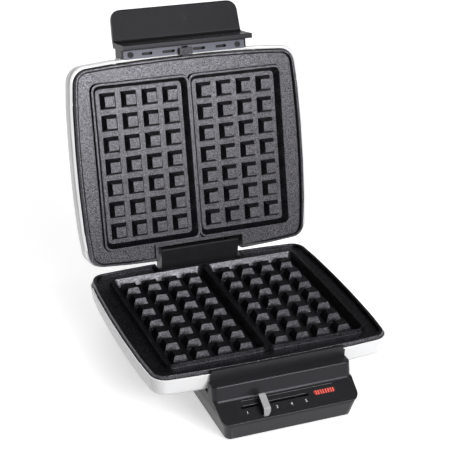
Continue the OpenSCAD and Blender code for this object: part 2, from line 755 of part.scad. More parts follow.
module indicator_lamps() {
    color([0.95, 0.5, 0.3]) on_panel() for (x = [-5.5, 5.5])
        translate([lens_x + lens_l / 2 + x - 3.5, -slot_s, -wall - 4.4]) rotate([0, 90, 0])
            cylinder(r = 1.7, h = 7);
}

module slider_knob() {
    low = 0.4;
    nose = 3.5;
    color([0.62, 0.62, 0.63]) on_panel() translate([knob_x, 0, 0]) {
        intersection() {
            along_x(knob_w / 2) polygon(rounded([[-knob_s0, low, 0.5], [-knob_s0, knob_h, 1.5],
                [-knob_s0 - knob_l + nose, knob_h, 3], [-knob_s0 - knob_l, 2, 1.2],
                [-knob_s0 - knob_l, low, 0.3]], 5));
            translate([0, -knob_s0 - knob_l / 2, 0]) linear_extrude(20)
                polygon(rect(knob_w / 2, knob_l / 2, knob_w * 0.35, 6));
        }
        block(-stem_hw, stem_hw, -slot_s - slot_w / 2 + fit, -slot_s + slot_w / 2 - fit,
            -wall - fit, low + 1);
    }
}

// Half width of a gear tooth, as an angle at radius rho
function involute(a) = tan(a) * 180 / PI - a;
function tooth_angle(rho) = let (base = gear_r * cos(20), a = rho <= base ? 0 : acos(base / rho))
    (PI * gear_m / 2 - backlash) / (2 * gear_r) * 180 / PI + involute(20) - involute(a);

module gear_outline() {
    root = gear_r - 1.25 * gear_m;
    tip = gear_r + gear_m;
    base = gear_r * cos(20);
    radii = concat([root], [for (i = [0:5]) base + (tip - base) * i / 5]);
    last = len(radii) - 1;
    step = 360 / gear_teeth;
    polygon([for (k = [0:gear_teeth - 1]) each concat(
        [for (i = [0:last]) let (a = -90 + k * step - tooth_angle(radii[i])) radii[i] * [cos(a), sin(a)]],
        [for (i = [last:-1:0]) let (a = -90 + k * step + tooth_angle(radii[i])) radii[i] * [cos(a), sin(a)]])]);
}

module thermostat_gear() {
    color([0.85, 0.84, 0.8]) on_panel() translate([0, -gear_s, gear_low]) difference() {
        union() {
            linear_extrude(gear_t) gear_outline();
            translate([0, 0, gear_t - tiny]) cylinder(r = 5, h = 1.2);
        }
        translate([0, 0, -1]) cylinder(r = spindle_r + bore_gap, h = gear_t + 1 + tiny);
    }
}

module slider_rack() {
    pitch = PI * gear_m;
    tip_hw = (pitch / 2 - backlash) / 2 - gear_m * tan(20);
    root_hw = (pitch / 2 - backlash) / 2 + 1.25 * gear_m * tan(20);
    x0 = knob_x - scale_end - rack_spare;
    x1 = knob_x + scale_start + rack_spare;
    color([0.85, 0.84, 0.8]) on_panel() {
        translate([0, 0, rack_low]) linear_extrude(rack_top - rack_low) union() {
            translate([x0, -rack_s - 1.25 * gear_m - 2.2]) square([x1 - x0, 2.2 + tiny]);
            for (k = [ceil(x0 / pitch + 0.5):floor(x1 / pitch - 1.5)])
                polygon([for (p = [[-root_hw, -1.25 * gear_m], [root_hw, -1.25 * gear_m],
                    [tip_hw, gear_m], [-tip_hw, gear_m]]) [(k + 0.5) * pitch + p[0], p[1] - rack_s]]);
        }
        block(knob_x - 7, knob_x + 7, -rack_s - 1.25 * gear_m - 2.2, -slot_s + slot_w / 2 + 1.5,
            rack_top - tiny, -wall - fit);
    }
}

module thermostat() {
    color([0.8, 0.78, 0.7]) on_panel() translate([0, -gear_s, 0]) {
        translate([0, 0, gear_low - 2.4 - stat_h]) linear_extrude(stat_h) polygon(rect(10, 10, 2));
        translate([0, 0, gear_low - 2.4 - tiny]) cylinder(r = 4, h = 1);
        translate([0, 0, gear_low - 2.4 - tiny]) cylinder(r = spindle_r, h = 2.4 + gear_t - 0.4);
        for (x = [-7, 7]) block(x - 0.4, x + 0.4, -13, -10 + tiny, gear_low - 5 - 3, gear_low - 5);
    }
}

module thermostat_bracket() {
    t = 1.2;
    top = gear_low - 2.4 + t;
    color(steel) on_panel() difference() {
        union() {
            block(-22, 22, -gear_s - 8, -gear_s + 6, top - t, top);
            mirror_x() block(22 - t, 22, -gear_s - 0, -gear_s + 5, top - t, -wall);
        }
        translate([0, -gear_s, top - 5]) cylinder(r = 4.3, h = 10);
    }
}

module thermal_fuse() {
    z = housing_top - wall;
    color([0.75, 0.6, 0.35]) on_base() translate([30, 30, z]) {
        block(-5, 5, -2.5, 2.5, -2, 0);
        translate([-8, 0, -4]) rotate([0, 90, 0]) cylinder(r = 2.2, h = 16);
    }
}

module terminal_block() {
    z = housing_top - wall;
    color([0.9, 0.9, 0.86]) on_base() translate([-25, 82, z]) difference() {
        union() {
            block(-17, 17, -5, 5, -9, 0);
            block(-17, 17, -8, 8, -3, 0);
        }
        for (x = [-11, 0, 11]) {
            translate([x, 10, -5.5]) rotate([90, 0, 0]) cylinder(r = 1.8, h = 20);
            translate([x, 0, -10]) cylinder(r = 1.8, h = 5);
        }
    }
}

module cord_bushing() {
    color([0.1, 0.1, 0.1]) on_base() translate([inlet_x, back_y, inlet_z]) rotate([-90, 0, 0])
        rotate_extrude() polygon([[inlet_r, -8], [inlet_r + 2.3, -8], [inlet_r + 2.3, 0],
            [inlet_r + 4.2, 0], [inlet_r + 4.2, 1.6], [inlet_r + 2.2, 6], [inlet_r, 6]]);
}

// ---- lid ----

module lid_shell() {
    niche_hw = neck_hw + fit;
    color(white) on_lid() difference() {
        upside_down() union() {
            difference() {
                tray(lid_depth, lid_over, lid_draft, 2.6);
                // Niche for the handle's neck, and the rim cut down under the strip
                block(-niche_hw, niche_hw, -plate_hd - lid_over - 5, -shell_hd,
                    -lid_depth + 1 - fit, 5);
                block(-niche_hw, niche_hw, -plate_hd - lid_over - 5, -plate_hd,
                    -strip_c - strip_t - fit, 5);
            }
            // Niche's back wall, which follows the plate's edge, and its ends
            translate([0, 0, -lid_depth + 1.7])
                linear_extrude(lid_depth - 1.7 - strip_c - strip_t - fit) difference() {
                    translate([0, 4 - shell_hd]) square([2 * niche_hw + 2, 8], center = true);
                    polygon(bowed(plate_hw + plate_gap, plate_hd + plate_gap, plate_r));
                }
            mirror_x() block(niche_hw, niche_hw + shell_t, -plate_hd - lid_over + 0.6, 1 - shell_hd,
                -lid_depth + shell_round - 1, rim_z - 3);
            tray_seats(lid_depth, [-80, 0, 80]);
        }
        // Cut-out over the hinge housing
        block(-notch_w / 2, notch_w / 2, plate_hd - 12, plate_hd + 5, 0, -lid_floor);
        for (p = bracket_holes) translate([p[0], p[1], -lid_floor - 1])
            cylinder(r = screw_r + 0.05, h = shell_t + 0.6);
    }
}

module lid_plate() { color(iron) on_lid() upside_down() waffle_plate(tongue_hw + fit); }

module lid_reflector() {
    color(steel) on_lid() upside_down() translate([0, 0, lid_floor + sheet_t])
        reflector(reflector_hw, reflector_hd, lid_end_x);
}

module lid_element() {
    color([0.35, 0.34, 0.33]) on_lid() upside_down() translate([0, 0, lid_floor + tube_rise])
        element(element_hw, element_hd, lid_end_x, lid_end_y);
}

module lid_element_saddles() {
    color(steel) on_lid() upside_down() translate([0, 0, lid_floor + sheet_t])
        saddles(element_hw, tube_rise - sheet_t);
}

module lid_handle() {
    neck_y = shell_hd + fit;
    under = strip_c + strip_t;
    root = grip_z0 + grip_t;
    tip_y = -grip_y - grip_reach;
    color(coal) on_lid() difference() {
        union() {
            // Grip, and the apron that hangs from its root in front of the housing's wall
            intersection() {
                along_x(grip_hw) polygon(rounded([[-apron_y, -apron_drop, 0.6],
                    [-apron_y - apron_t, -apron_drop, 0.8], [-grip_y + 1, grip_z0 * 0.4, 30],
                    [-grip_y, grip_z0, 3], [tip_y, grip_z0 + grip_rise, 1.8],
                    [tip_y, grip_z0 + grip_rise + grip_t, 1.8], [-grip_y - 5, root + 1.6, 40],
                    [-apron_y - 1, root - 1.6, 1], [-apron_y, strip_c + 1, 0]], 4));
                translate([0, 0, -20]) linear_extrude(80) polygon(rounded([
                    [-grip_hw + 1.5, tip_y, grip_r], [grip_hw - 1.5, tip_y, grip_r],
                    [grip_hw, -grip_y, 0], [grip_hw, 0, 0], [-grip_hw, 0, 0], [-grip_hw, -grip_y, 0]], 6));
            }
            along_x(neck_hw) polygon(rounded([[-neck_y, under, 0], [-neck_y, lid_depth - 1, 2],
                [-apron_y - 1.5, root - 2, 0], [-apron_y - 1.5, under, 0]]));
        }
        // Pockets over the strip's slots, screw holes, and the latch's guide
        for (s = strip_slots) block(s[0] - 0.5, s[1] + 0.5, -strip_y - 2, -strip_y + 2, 0, under + 4);
        for (x = [-strip_screw_x, strip_screw_x]) translate([x, -strip_y, under - 1])
            cylinder(r = screw_r + 0.05, h = 9);
        block(-stem_w / 2 - fit, stem_w / 2 + fit, -latch_y - 2 - latch_travel - fit, -latch_y + 2 + fit,
            0, under + 5);
    }
}

module handle_strip() {
    color([0.42, 0.44, 0.5]) on_lid() difference() {
        translate([0, 0, strip_c]) linear_extrude(strip_t)
            translate([0, -strip_y]) polygon(rect(strip_hw, strip_hd, 0.8));
        for (s = strip_slots) translate([(s[0] + s[1]) / 2, -strip_y, 0]) linear_extrude(20)
            polygon(rect((s[1] - s[0]) / 2, 1.5, 1.4));
        for (x = [-strip_screw_x, strip_screw_x]) translate([x, -strip_y, 0])
            cylinder(r = screw_r + 0.3, h = 20);
        block(-stem_w / 2 - fit, stem_w / 2 + fit, -latch_y - 2 - latch_travel - fit, -latch_y + 2 + fit,
            0, 20);
    }
}

module handle_screws() {
    color(steel) on_lid() for (x = [-strip_screw_x, strip_screw_x]) translate([x, -strip_y, strip_c])
        rotate([180, 0, 0]) screw(screw_r, 8, 3, 1.2);
}

module lid_plate_latch() {
    body_c = strip_c - 0.1;
    pad_c = strip_c - 1;
    foot = plate_hd + 1.2;
    back = apron_y - latch_travel - fit;
    color(coal) on_lid() {
        // Tongue into the plate's edge, thumb pad with a raised diamond, and stem
        block(-tongue_hw, tongue_hw, -foot - 2, -plate_hd + tongue_reach, tongue_c, tongue_c + tongue_t);
        block(-latch_hw, latch_hw, -back, -foot, tongue_c - tongue_t - 0.8, pad_c);
        block(-latch_hw, latch_hw, -latch_y - 1, -foot, pad_c - 0.5, body_c);
        block(-stem_w / 2, stem_w / 2, -latch_y - 2, -latch_y + 2, body_c - 1, strip_c + strip_t + 4);
        translate([0, -latch_y, tongue_c - tongue_t - 1.2]) rotate([0, 0, 45])
            block(-2.4, 2.4, -2.4, 2.4, 0, 1);
    }
}

module lid_hinge_bracket() {
    axis_c = hinge_z - lid_z;
    color(steel) on_lid() difference() {
        union() {
            block(-ear_x - 6, ear_x + 6, bracket_y - bracket_d, bracket_y, bracket_c, -lid_floor);
            mirror_x() translate([ear_x, 0, 0]) along_x(ear_t / 2) {
                translate([hinge_y, axis_c]) circle(r = ear_r);
                translate([hinge_y - ear_r, axis_c]) square([ear_r, bracket_c - axis_c + 0.5]);
            }
        }
        translate([-ear_x - 10, hinge_y, axis_c]) rotate([0, 90, 0])
            cylinder(r = pin_r + bore_gap, h = 2 * ear_x + 20);
        for (p = bracket_holes) translate([p[0], p[1], 0]) cylinder(r = screw_r + 0.3, h = 40);
    }
}

module hinge_bracket_screws() {
    color(steel) on_lid() for (p = bracket_holes) translate([p[0], p[1], bracket_c])
        rotate([180, 0, 0]) screw(screw_r, lid_depth - bracket_c - 0.7, 2.4, 0.9);
}

base_housing();
base_bottom_cover();
base_shell();
base_plate();
base_reflector();
base_element();
base_element_saddles();
rubber_feet();
bottom_screws();
shell_screws();
hinge_housing();
hinge_pin();
scale_plate();
indicator_lens();
lamp_holder();
indicator_lamps();
thermostat();
thermostat_bracket();
thermal_fuse();
terminal_block();
cord_bushing();
slider_knob();
slider_rack();
thermostat_gear();
lid_shell();
lid_plate();
lid_reflector();
lid_element();
lid_element_saddles();
lid_handle();
handle_strip();
handle_screws();
lid_hinge_bracket();
hinge_bracket_screws();
lid_plate_latch();
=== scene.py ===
import bpy
import bmesh
import json
import math
from mathutils import Matrix, Vector


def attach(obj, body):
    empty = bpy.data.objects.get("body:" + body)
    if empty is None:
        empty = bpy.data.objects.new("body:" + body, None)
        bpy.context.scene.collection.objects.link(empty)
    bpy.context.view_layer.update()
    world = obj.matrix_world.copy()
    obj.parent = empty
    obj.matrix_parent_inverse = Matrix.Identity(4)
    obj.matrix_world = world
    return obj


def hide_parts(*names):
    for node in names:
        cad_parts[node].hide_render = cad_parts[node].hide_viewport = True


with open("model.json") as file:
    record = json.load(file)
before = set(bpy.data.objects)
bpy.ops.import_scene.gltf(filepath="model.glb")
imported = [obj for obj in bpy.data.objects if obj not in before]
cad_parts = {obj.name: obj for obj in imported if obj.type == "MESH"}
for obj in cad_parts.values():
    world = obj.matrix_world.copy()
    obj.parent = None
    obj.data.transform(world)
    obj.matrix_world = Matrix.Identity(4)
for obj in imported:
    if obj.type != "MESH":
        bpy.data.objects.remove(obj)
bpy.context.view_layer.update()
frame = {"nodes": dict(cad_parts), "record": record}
nodes = frame["nodes"]
millimetre = 0.001
print("frame loaded:", len(nodes), "nodes")

# Sizes that the pieces below share, in millimetres and degrees on the open waffle maker
layout = {
    "shiftY": -24.19,        # from the plates' own middle to the frame's origin
    "openAngle": 106.5,      # how far the lid stands open
    "lipHeight": 3.4,        # of the raised lip around a plate
    "panelY": -126.0,        # top edge of the sloping panel
    "panelZ": 33.0,
    "panelTilt": 27.5,
}


def panelMatrix():
    # from the panel's own plane, measured from the middle of its top edge, to the frame
    place = Vector((0, layout["panelY"] + layout["shiftY"], layout["panelZ"])) * millimetre
    return Matrix.Translation(place) @ Matrix.Rotation(math.radians(layout["panelTilt"]), 4, "X")


def startMaterial(name, colour, roughness, metallic=0.0, specular=0.5, coat=0.0, coatRoughness=0.1,
                  gloss=(1, 1, 1)):
    material = bpy.data.materials.new(name)
    material.use_nodes = True
    tree = material.node_tree
    shader = tree.nodes["Principled BSDF"]
    shader.inputs["Base Color"].default_value = (*colour, 1)
    shader.inputs["Roughness"].default_value = roughness
    shader.inputs["Metallic"].default_value = metallic
    shader.inputs["Specular IOR Level"].default_value = specular
    shader.inputs["Coat Weight"].default_value = coat
    shader.inputs["Coat Roughness"].default_value = coatRoughness
    shader.inputs["Specular Tint"].default_value = (*gloss, 1)
    where = tree.nodes.new("ShaderNodeTexCoord")
    return material, tree, shader, where.outputs["Object"]


def addNoise(tree, where, scale, detail=3.0, stretch=(1, 1, 1)):
    mapping = tree.nodes.new("ShaderNodeMapping")
    mapping.inputs["Scale"].default_value = stretch
    noise = tree.nodes.new("ShaderNodeTexNoise")
    noise.inputs["Scale"].default_value = scale
    noise.inputs["Detail"].default_value = detail
    tree.links.new(where, mapping.inputs["Vector"])
    tree.links.new(mapping.outputs["Vector"], noise.inputs["Vector"])
    return noise.outputs["Fac"]


def addRamp(tree, value, stops):
    # two stops, each a place from 0 to 1 and a colour
    ramp = tree.nodes.new("ShaderNodeValToRGB")
    for element, (place, colour) in zip(ramp.color_ramp.elements, stops):
        element.position = place
        element.color = (*colour, 1)
    tree.links.new(value, ramp.inputs["Fac"])
    return ramp.outputs["Color"]


def addRange(tree, value, low, high, fromLow=0.3, fromHigh=0.7):
    mapRange = tree.nodes.new("ShaderNodeMapRange")
    mapRange.inputs["From Min"].default_value = fromLow
    mapRange.inputs["From Max"].default_value = fromHigh
    mapRange.inputs["To Min"].default_value = low
    mapRange.inputs["To Max"].default_value = high
    tree.links.new(value, mapRange.inputs["Value"])
    return mapRange.outputs["Result"]


def addBump(tree, shader, height, strength, depth):
    bump = tree.nodes.new("ShaderNodeBump")
    bump.inputs["Strength"].default_value = strength
    bump.inputs["Distance"].default_value = depth
    tree.links.new(height, bump.inputs["Height"])
    tree.links.new(bump.outputs["Normal"], shader.inputs["Normal"])


# Cast aluminium under a dark coating with fine metal flecks, a little rough to the touch
nonStickCoat = {
    "dark": (0.022, 0.0215, 0.0235), "fleck": (0.155, 0.152, 0.168),
    "fleckFrom": 0.4, "fleckFull": 0.63, "fleckScale": 1300,
    "roughness": 0.36, "unevenness": 0.05, "unevenStretch": (0.8, 1.1, 0.9),
    "grainScale": 1300, "grainStrength": 1.0, "grainDepth": 0.0001,
}


def makeNonStick(name):
    s = nonStickCoat
    material, tree, shader, where = startMaterial(name, s["dark"], s["roughness"], metallic=1.0)
    fleck = addNoise(tree, where, s["fleckScale"], detail=1.0)
    colour = addRamp(tree, fleck, [(s["fleckFrom"], s["dark"]), (s["fleckFull"], s["fleck"])])
    tree.links.new(colour, shader.inputs["Base Color"])
    uneven = addNoise(tree, where, s["fleckScale"], detail=1.0, stretch=s["unevenStretch"])
    roughness = addRange(tree, uneven, s["roughness"] - s["unevenness"], s["roughness"] + s["unevenness"],
                         fromLow=0.35, fromHigh=0.65)
    tree.links.new(roughness, shader.inputs["Roughness"])
    grain = addNoise(tree, where, s["grainScale"], detail=1.0)
    addBump(tree, shader, grain, s["grainStrength"], s["grainDepth"])
    return material


# Glossy white lacquer with a faint orange peel
casingWhite = {
    "colour": (0.72, 0.72, 0.73), "roughness": 0.18, "smoother": 0.03, "rougher": 0.05,
    "peelScale": 160, "peelStrength": 0.08, "peelDepth": 0.0002,
}


def makeCasing(name):
    s = casingWhite
    material, tree, shader, where = startMaterial(name, s["colour"], s["roughness"])
    peel = addNoise(tree, where, s["peelScale"], detail=2.0)
    roughness = addRange(tree, peel, s["roughness"] - s["smoother"], s["roughness"] + s["rougher"])
    tree.links.new(roughness, shader.inputs["Roughness"])
    addBump(tree, shader, peel, s["peelStrength"], s["peelDepth"])
    return material


# Moulded plastic: broad soft patches in its colour and sheen over a fine grain
satinPlastic = {
    "gloss": (0.92, 0.9, 1.0), "grainStrength": 0.35,
    "patchScale": 90, "patchFrom": 0.35, "patchFull": 0.75, "patchLighter": 1.12,
    "smoother": 0.012, "rougher": 0.015,
}


def makeSatin(name, colour, roughness, grain=2600, depth=0.00004, specular=0.3):
    s = satinPlastic
    material, tree, shader, where = startMaterial(name, colour, roughness,
                                                  specular=specular, gloss=s["gloss"])
    fine = addNoise(tree, where, grain, detail=2.0)
    broad = addNoise(tree, where, s["patchScale"])
    lighter = tuple(c * s["patchLighter"] for c in colour)
    patches = addRamp(tree, broad, [(s["patchFrom"], colour), (s["patchFull"], lighter)])
    tree.links.new(patches, shader.inputs["Base Color"])
    sheen = addRange(tree, broad, roughness - s["smoother"], roughness + s["rougher"])
    tree.links.new(sheen, shader.inputs["Roughness"])
    addBump(tree, shader, fine, s["grainStrength"], depth)
    return material


# Sheet and tube metal with drawn lines
brushedMetal = {
    "lineScale": 60, "lineStrength": 0.12, "lineDepth": 0.00005, "smoother": 0.07, "rougher": 0.1,
}


def makeMetal(name, colour, roughness, brushed=(1, 40, 40)):
    s = brushedMetal
    material, tree, shader, where = startMaterial(name, colour, roughness, metallic=1.0)
    lines = addNoise(tree, where, s["lineScale"], detail=4.0, stretch=brushed)
    sheen = addRange(tree, lines, roughness - s["smoother"], roughness + s["rougher"])
    tree.links.new(sheen, shader.inputs["Roughness"])
    addBump(tree, shader, lines, s["lineStrength"], s["lineDepth"])
    return material


# Clear red plastic, ribbed to spread the light of the lamps behind it. The ribs are real bumps, and their
# colour ramp paints glints on the ridges and shade in the grooves
redLens = {
    "colour": (0.72, 0.035, 0.02), "roughness": 0.22, "specular": 0.6, "coat": 0.4,
    "paintedGrooveShade": (0.2, 0.016, 0.014), "grooveAt": 0.25, "ridge": (0.7, 0.12, 0.095), "ridgeAt": 0.8,
    "ribScale": 120, "ribWander": 2.5, "ribDetail": 3.0, "ribStrength": 0.4, "ribDepth": 0.0003,
}


def makeLens(name):
    s = redLens
    material, tree, shader, where = startMaterial(name, s["colour"], s["roughness"],
                                                  specular=s["specular"], coat=s["coat"])
    ribs = tree.nodes.new("ShaderNodeTexWave")
    ribs.bands_direction = "X"
    ribs.inputs["Scale"].default_value = s["ribScale"]
    ribs.inputs["Distortion"].default_value = s["ribWander"]
    ribs.inputs["Detail Scale"].default_value = s["ribDetail"]
    tree.links.new(where, ribs.inputs["Vector"])
    # painted shade in the grooves, painted glints on the ridges
    colour = addRamp(tree, ribs.outputs["Fac"], [(s["grooveAt"], s["paintedGrooveShade"]), (s["ridgeAt"], s["ridge"])])
    tree.links.new(colour, shader.inputs["Base Color"])
    addBump(tree, shader, ribs.outputs["Fac"], s["ribStrength"], s["ribDepth"])
    return material


blackRubber = {
    "colour": (0.012, 0.012, 0.012), "roughness": 0.75, "specular": 0.3,
    "grainScale": 1800, "grainStrength": 0.4, "grainDepth": 0.0001,
}


def makeRubber(name):
    s = blackRubber
    material, tree, shader, where = startMaterial(name, s["colour"], s["roughness"], specular=s["specular"])
    addBump(tree, shader, addNoise(tree, where, s["grainScale"]), s["grainStrength"], s["grainDepth"])
    return material


# Each finish has a colour and a roughness. grain: how fine its grain is, depth: how deep, in metres,
# brushed: how its drawn lines are stretched
finishes = {
    "nonStick": makeNonStick("nonStick"),
    # near-black matt finish for the rounded inner edge of a plate's lip: painted shade along the foot of the
    # lip
    "paintedLipShade": makeSatin("paintedLipShade", (0.003, 0.003, 0.003), 0.6, grain=1300, depth=0.00005, specular=0.2),
    "casing": makeCasing("casing"),
    "black": makeSatin("blackMoulding", (0.0115, 0.011, 0.0118), 0.31),
    "handle": makeSatin("blackHandle", (0.011, 0.0105, 0.011), 0.26, depth=0.00003, specular=0.14),
    "panel": makeSatin("scalePanel", (0.011, 0.011, 0.012), 0.34, grain=3200, depth=0.00002),
    "knob": makeSatin("greyKnob", (0.27, 0.27, 0.275), 0.4, grain=1900, depth=0.00006),
    "print": makeSatin("palePrint", (0.5, 0.5, 0.5), 0.5),
    "faintPrint": makeSatin("faintPrint", (0.22, 0.22, 0.22), 0.5),
    "darkNylon": makeSatin("darkNylon", (0.012, 0.012, 0.012), 0.45, grain=1400),
    "screw": makeSatin("blackenedScrew", (0.03, 0.03, 0.032), 0.6, grain=1500, depth=0.00006),
    "strip": makeSatin("bluishStrip", (0.10, 0.105, 0.13), 0.3, grain=900, depth=0.00006),
    "steel": makeMetal("steel", (0.62, 0.63, 0.65), 0.3),
    "sheet": makeMetal("reflectorSheet", (0.8, 0.81, 0.83), 0.25, brushed=(30, 1, 30)),
    "tube": makeMetal("heatingTube", (0.16, 0.15, 0.145), 0.45, brushed=(30, 30, 30)),
    "brass": makeMetal("brass", (0.72, 0.52, 0.24), 0.3),
    "lens": makeLens("redLens"),
    "lamp": makeSatin("lampGlass", (0.9, 0.45, 0.25), 0.12, grain=600, depth=0.00002),
    "natural": makeSatin("paleNylon", (0.66, 0.64, 0.58), 0.45, grain=1400, depth=0.00005),
    "rubber": makeRubber("rubber"),
}

nodeFinish = {
    "base_housing": "black", "base_bottom_cover": "black", "base_shell": "casing",
    "base_plate": "nonStick", "base_reflector": "sheet", "base_element": "tube",
    "base_element_saddles": "steel", "rubber_feet": "rubber", "bottom_screws": "steel",
    "shell_screws": "steel", "hinge_housing": "black", "hinge_pin": "steel",
    "scale_plate": "panel", "indicator_lens": "lens", "lamp_holder": "natural",
    "indicator_lamps": "lamp", "thermostat": "natural", "thermostat_bracket": "steel",
    "thermal_fuse": "brass", "terminal_block": "natural", "cord_bushing": "rubber",
    "slider_knob": "knob", "slider_rack": "darkNylon", "thermostat_gear": "darkNylon",
    "lid_shell": "casing", "lid_plate": "nonStick", "lid_reflector": "sheet",
    "lid_element": "tube", "lid_element_saddles": "steel", "lid_handle": "handle",
    "handle_strip": "strip", "handle_screws": "screw", "lid_hinge_bracket": "steel",
    "hinge_bracket_screws": "steel", "lid_plate_latch": "black",
}
for nodeName, finish in nodeFinish.items():
    slots = nodes[nodeName].data.materials
    slots.clear()
    slots.append(finishes[finish])
print("materials set:", len(finishes))


# Rounded edges, in millimetres. rimWidth: for the edges on top of a plate's rim,
# innerWidth: for the inner edge of its lip, whose rounding gets a near-black matt finish as painted shade,
# facing: the way that the rim points
lidTilt = math.radians(layout["openAngle"])
softEdges = {
    "base_plate": {"width": 0.5, "rimWidth": 0.5, "facing": (0, 0, 1)},
    "lid_plate": {"width": 0.4, "rimWidth": 0.5, "innerWidth": 1.5,
                  "facing": (0, -math.sin(lidTilt), -math.cos(lidTilt))},
    "base_housing": {"width": 0.5},
    "hinge_housing": {"width": 0.5},
    "lid_handle": {"width": 0.5},
    "base_shell": {"width": 0.3},
    "lid_shell": {"width": 0.3},
    "slider_knob": {"width": 0.3},
    "lid_plate_latch": {"width": 0.25},
}
edgeWork = {
    "mergeGap": 0.01, "flatAngle": 1.0,      # what counts as one point, and as one face
    "sharpAngle": 33, "smoothAngle": 40,     # from here on an edge is rounded, or drawn sharp
    "segments": 2, "rimSegments": 3, "flatWeight": 100,
    "rimReach": 13, "rimSlack": 0.05,        # how far in the rim's edges lie, and how level they are
    "lipSlack": 0.1,                         # how far a lip's height may be off
}
knobSides = {"finish": "black", "steepness": 0.8}        # pale cap on dark sides
bodyOf = {name: body for body, names in frame["record"]["behaviour"]["bodies"].items() for name in names}


def bevelEdges(shape, edges, width, segments):
    made = bmesh.ops.bevel(shape, geom=edges, offset=width * millimetre, offset_type="OFFSET",
                           segments=segments, profile=0.5, affect="EDGES", clamp_overlap=True, material=-1)
    return made["faces"]


def hardEdges(shape):
    return [edge for edge in shape.edges
            if len(edge.link_faces) == 2 and edge.calc_face_angle(0) > math.radians(edgeWork["sharpAngle"])]


# The edges on top of a plate's rim, and those of them that end the lip's wall inside
def rimEdges(shape, facing):
    outward = Vector(facing)
    upward = outward.cross(Vector((-1, 0, 0)))
    heights = [vert.co.dot(upward) for vert in shape.verts]
    middle, half = (max(heights) + min(heights)) / 2, (max(heights) - min(heights)) / 2
    widest = max(vert.co.x for vert in shape.verts)
    reach = edgeWork["rimReach"] * millimetre
    outer = {vert for vert in shape.verts
             if abs(vert.co.x) > widest - reach or abs(vert.co.dot(upward) - middle) > half - reach}
    top = max(vert.co.dot(outward) for vert in outer)

    def liesOnTop(edge):
        return all(vert in outer and abs(vert.co.dot(outward) - top) < edgeWork["rimSlack"] * millimetre
                   for vert in edge.verts)

    def endsLip(edge):
        foot = min(vert.co.dot(outward) for face in edge.link_faces for vert in face.verts)
        return abs(top - foot - layout["lipHeight"] * millimetre) < edgeWork["lipSlack"] * millimetre

    rim = [edge for edge in hardEdges(shape) if liesOnTop(edge)]
    return rim, [edge for edge in rim if endsLip(edge)]


def softenedCopy(nodeName, width, rimWidth=0, innerWidth=0, facing=(0, 0, 1)):
    mesh = nodes[nodeName].data.copy()
    mesh.name = nodeName + "_soft"
    piece = bpy.data.objects.new(nodeName + "_soft", mesh)
    bpy.context.scene.collection.objects.link(piece)
    shape = bmesh.new()
    shape.from_mesh(mesh)
    bmesh.ops.remove_doubles(shape, verts=shape.verts, dist=edgeWork["mergeGap"] * millimetre)
    bmesh.ops.dissolve_limit(shape, angle_limit=math.radians(edgeWork["flatAngle"]),
                             verts=shape.verts, edges=shape.edges)
    if rimWidth:
        rim, inner = rimEdges(shape, facing)
        if not innerWidth:
            inner = []
        # the rounded inner edge of the lip takes the second slot, a near-black finish: painted shade
        for face in bevelEdges(shape, inner, innerWidth, edgeWork["segments"]):
            face.material_index = 1
        bevelEdges(shape, [edge for edge in rim if edge not in inner], rimWidth, edgeWork["rimSegments"])
        print("rim edges of", nodeName, len(rim), "with", len(inner), "inside")
    bevelEdges(shape, hardEdges(shape), width, edgeWork["segments"])
    for face in shape.faces:
        face.smooth = True
    shape.to_mesh(mesh)
    shape.free()
    mesh.set_sharp_from_angle(angle=math.radians(edgeWork["smoothAngle"]))
    flatten = piece.modifiers.new("flatFaces", "WEIGHTED_NORMAL")
    flatten.keep_sharp = True
    flatten.weight = edgeWork["flatWeight"]
    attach(piece, bodyOf[nodeName])
    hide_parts(nodeName)
    return piece


for nodeName, edge in softEdges.items():
    softened = softenedCopy(nodeName, **edge)
    # second slot: painted shade on the lip's inner edge
    if "innerWidth" in edge:
        softened.data.materials.append(finishes["paintedLipShade"])
    if nodeName == "slider_knob":
        softened.data.materials.append(finishes[knobSides["finish"]])
        for face in softened.data.polygons:
            if abs(face.normal.x) > knobSides["steepness"]:
                face.material_index = 1
    print("softened", nodeName, len(softened.data.polygons), "faces")


# Print on the sloping panel, in millimetres along it and down it
scalePrint = {
    "lift": 0.03, "thick": 0.05,
    "digits": 5, "digitSize": 4.5, "digitDown": 16.4, "firstMark": -44.0, "step": 15.4,
    "lines": {"scaleLineTop": (-46, 50, 3.3, 3.5), "scaleLineMiddle": (-46, 20, 8.6, 8.8)},
}


def addPrint(name, mesh, finish):
    piece = bpy.data.objects.new(name, mesh)
    bpy.context.scene.collection.objects.link(piece)
    mesh.materials.clear()
    mesh.materials.append(finishes[finish])
    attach(piece, "base")


def printedLine(name, left, right, top, bottom):
    shape = bmesh.new()
    bmesh.ops.create_cube(shape, size=1)
    size = Vector((right - left, bottom - top, scalePrint["thick"])) * millimetre
    middle = Vector(((left + right) / 2, -(top + bottom) / 2, scalePrint["lift"])) * millimetre
    bmesh.ops.scale(shape, vec=size, verts=shape.verts)
    bmesh.ops.translate(shape, vec=middle, verts=shape.verts)
    bmesh.ops.transform(shape, matrix=panelMatrix(), verts=shape.verts)
    mesh = bpy.data.meshes.new(name)
    shape.to_mesh(mesh)
    shape.free()
    addPrint(name, mesh, "faintPrint")


